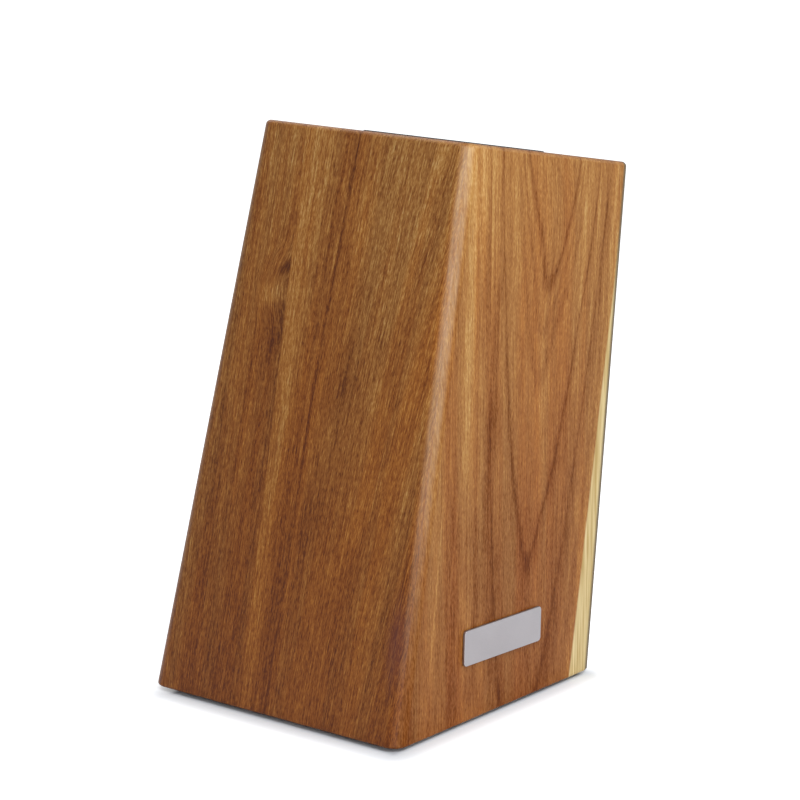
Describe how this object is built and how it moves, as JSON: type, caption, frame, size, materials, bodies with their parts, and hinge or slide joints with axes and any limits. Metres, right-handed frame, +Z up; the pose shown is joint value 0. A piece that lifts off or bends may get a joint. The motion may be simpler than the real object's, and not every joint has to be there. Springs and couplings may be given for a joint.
{
  "type": "knife block",
  "caption": "Empty leaning knife block: hollow mitred hardwood shell on rubber feet, with a slotted black insert that lifts out and a bare steel plate low on one side.",
  "frame": {"origin": "middle of the bounding box's underside, on the surface that the feet stand on", "axes": "+Z up; +X along the plate side, the way the block leans; -Y is the outward direction of the plate side"},
  "size_m": [0.1496, 0.127, 0.2263],
  "materials": {
    "oiled_acacia": "oiled, satin",
    "black_plastic": "fine moulded satin",
    "satin_steel": "fine bead-blasted satin",
    "zinc_steel": "zinc plated",
    "black_rubber": "matt",
    "foam_tape": "matt foam tape"
  },
  "bodies": {
    "shell": {"plate_side_board": "oiled_acacia", "far_side_board": "oiled_acacia", "lean_side_wide_stave": "oiled_acacia", "lean_side_edge_stave": "oiled_acacia", "tail_side_edge_stave": "oiled_acacia", "tail_side_wide_stave": "oiled_acacia", "base_board": "oiled_acacia", "base_screws": "zinc_steel", "name_plate": "satin_steel", "plate_adhesive": "foam_tape", "rubber_foot_1": "black_rubber", "rubber_foot_2": "black_rubber", "rubber_foot_3": "black_rubber", "rubber_foot_4": "black_rubber"},
    "insert": {"insert_case": "black_plastic", "insert_rim": "black_plastic", "insert_divider_1": "black_plastic", "insert_divider_2": "black_plastic", "insert_divider_3": "black_plastic", "insert_divider_4": "black_plastic", "insert_divider_5": "black_plastic"}
  },
  "joints": [
    {"name": "insert_lift", "type": "slide", "parent": "shell", "child": "insert", "axis": [0.1891, 0, 0.982], "range_m": [0, 0.205]}
  ]
}
